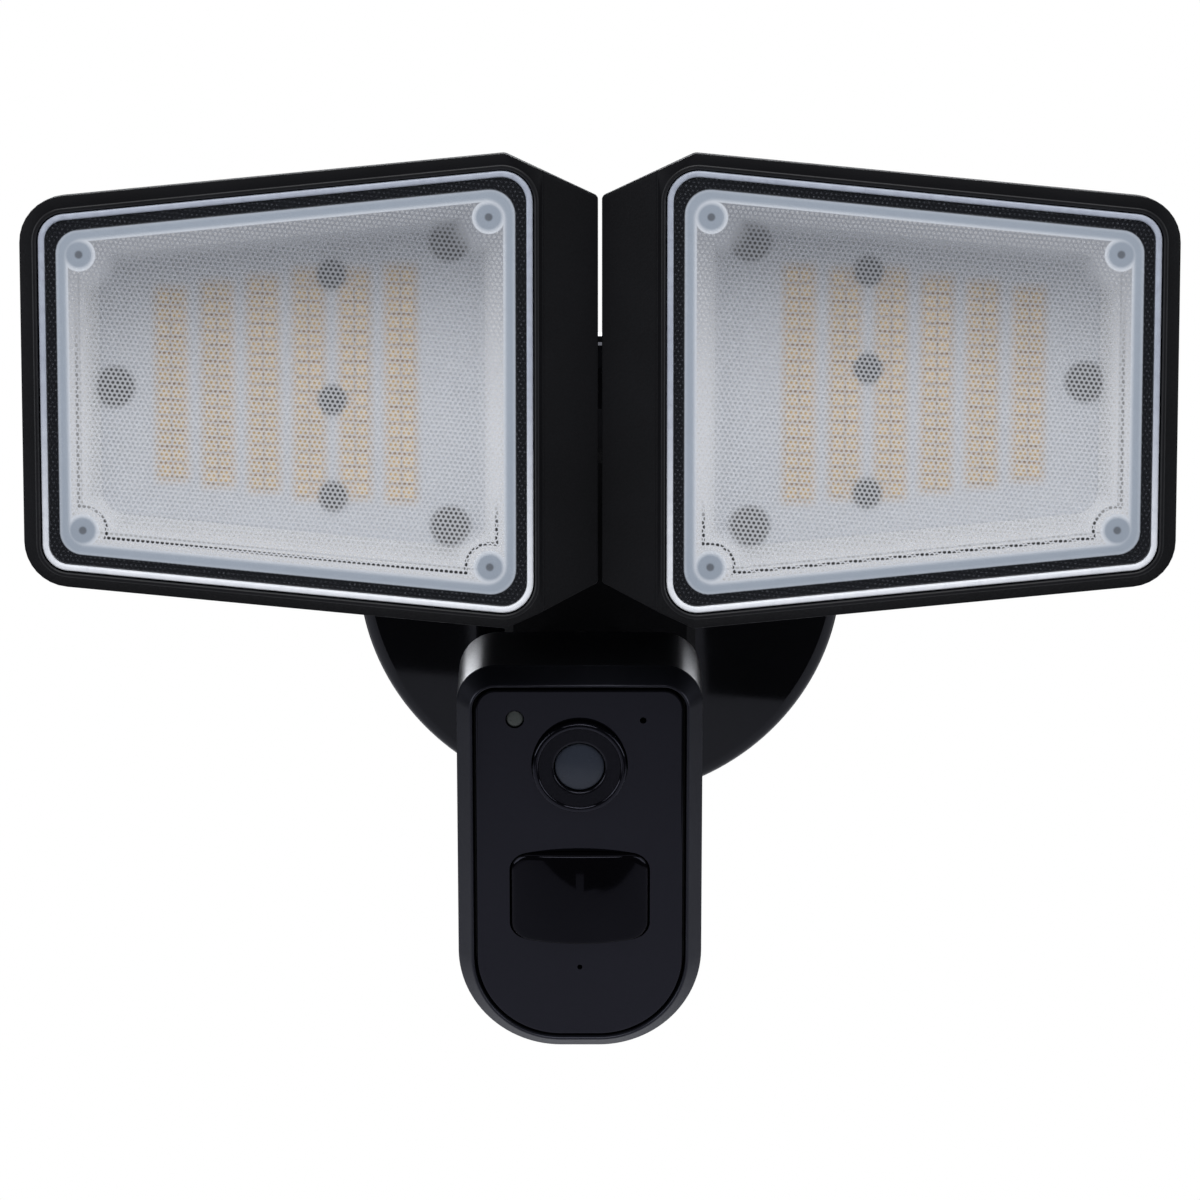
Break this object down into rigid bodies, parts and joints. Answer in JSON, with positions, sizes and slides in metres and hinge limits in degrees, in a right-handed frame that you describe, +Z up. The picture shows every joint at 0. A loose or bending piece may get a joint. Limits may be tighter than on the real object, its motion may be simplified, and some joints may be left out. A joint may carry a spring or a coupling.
{
  "type": "floodlight security camera",
  "caption": "Wall floodlight camera: round canopy, hub, trapezoidal LED heads on swivel-and-tilt knuckles, and a pan-and-tilt camera pod with motion sensor below.",
  "frame": {"origin": "centre of the wall mounting plane, on the back face of the crossbar at the middle of the round canopy", "axes": "+Y into the wall, -Y towards the viewer, +X to the right seen from the front, +Z up"},
  "size_m": [0.298, 0.1677, 0.254],
  "materials": {
    "housing_matte": "fine-grain textured matte black",
    "canopy_gloss": "polished black",
    "pod_satin": "satin black, very fine grain",
    "face_gloss": "mirror-gloss black, infrared-passing",
    "lens_clear": "prismatic translucent polycarbonate",
    "reflector_white": "diffuse white",
    "led_board": "white solder mask with warm emitters",
    "rubber_black": "matte elastomer",
    "gasket_foam": "closed-cell foam",
    "bracket_steel": "zinc-plated pressed steel",
    "screw_steel": "plated steel",
    "screw_black": "black oxide",
    "circuit_board": "green solder mask",
    "camera_glass": "coated lens glass",
    "speaker_black": "matte"
  },
  "bodies": {
    "mount": {"wall_gasket": "gasket_foam", "crossbar": "bracket_steel", "box_screw_left": "bracket_steel", "box_screw_right": "bracket_steel", "canopy": "canopy_gloss", "canopy_screw_left": "screw_black", "canopy_screw_right": "screw_black", "wire_grommet": "rubber_black", "hub_housing": "housing_matte", "driver_board": "circuit_board", "camera_pan_pin": "screw_steel"},
    "arm_left": {"swivel_arm_left": "housing_matte", "retaining_ring_left": "screw_steel"},
    "head_left": {"head_housing_left": "housing_matte", "lens_gasket_left": "rubber_black", "head_lens_left": "lens_clear", "reflector_left": "reflector_white", "led_board_left": "led_board", "reflector_screw_left_1": "screw_steel", "reflector_screw_left_2": "screw_steel", "reflector_screw_left_3": "screw_steel", "board_screw_left_1": "screw_steel", "board_screw_left_2": "screw_steel", "board_screw_left_3": "screw_steel", "head_bracket_left": "housing_matte", "tilt_bolt_left": "screw_black", "tilt_nut_left": "screw_black"},
    "arm_right": {"swivel_arm_right": "housing_matte", "retaining_ring_right": "screw_steel"},
    "head_right": {"head_housing_right": "housing_matte", "lens_gasket_right": "rubber_black", "head_lens_right": "lens_clear", "reflector_right": "reflector_white", "led_board_right": "led_board", "reflector_screw_right_1": "screw_steel", "reflector_screw_right_2": "screw_steel", "reflector_screw_right_3": "screw_steel", "board_screw_right_1": "screw_steel", "board_screw_right_2": "screw_steel", "board_screw_right_3": "screw_steel", "head_bracket_right": "housing_matte", "tilt_bolt_right": "screw_black", "tilt_nut_right": "screw_black"},
    "camera_turret": {"camera_turret": "housing_matte"},
    "camera_pod": {"camera_bezel": "pod_satin", "camera_housing": "pod_satin", "camera_seal": "rubber_black", "face_plate": "face_gloss", "lens_ring": "face_gloss", "lens_glass": "camera_glass", "lens_barrel": "screw_black", "camera_board": "circuit_board", "main_board": "circuit_board", "pir_window": "face_gloss", "pir_sensor": "screw_steel", "light_sensor_window": "camera_glass", "speaker": "speaker_black", "camera_tilt_pin": "screw_steel"},
    "card_cover": {"card_cover": "rubber_black"},
    "reset_button": {"reset_button": "rubber_black"}
  },
  "joints": [
    {"name": "head_pan_left", "type": "hinge", "parent": "mount", "child": "arm_left", "pos_m": [-0.052, -0.08, 0.038], "axis": [0, 0, 1], "range_deg": [-45, 0]},
    {"name": "head_pan_right", "type": "hinge", "parent": "mount", "child": "arm_right", "pos_m": [0.052, -0.08, 0.038], "axis": [0, 0, 1], "range_deg": [0, 45]},
    {"name": "head_tilt_left", "type": "hinge", "parent": "arm_left", "child": "head_left", "pos_m": [-0.052, -0.10474, 0.08499], "axis": [1, 0, 0], "range_deg": [-20, 28]},
    {"name": "head_tilt_right", "type": "hinge", "parent": "arm_right", "child": "head_right", "pos_m": [0.052, -0.10474, 0.08499], "axis": [1, 0, 0], "range_deg": [-20, 28]},
    {"name": "camera_pan", "type": "hinge", "parent": "mount", "child": "camera_turret", "pos_m": [-0.0055, -0.07, -0.019], "axis": [0, 0, 1], "range_deg": [-30, 30]},
    {"name": "camera_tilt", "type": "hinge", "parent": "camera_turret", "child": "camera_pod", "pos_m": [-0.0055, -0.086, -0.019], "axis": [1, 0, 0], "range_deg": [-12, 45]},
    {"name": "card_cover_hinge", "type": "hinge", "parent": "camera_pod", "child": "card_cover", "pos_m": [-0.0055, -0.0946, -0.0667], "axis": [1, 0, 0], "range_deg": [0, 100]},
    {"name": "reset_press", "type": "slide", "parent": "camera_pod", "child": "reset_button", "axis": [0, -1, 0], "range_m": [0, 0.0008], "stiffness_N_per_m": 500}
  ]
}
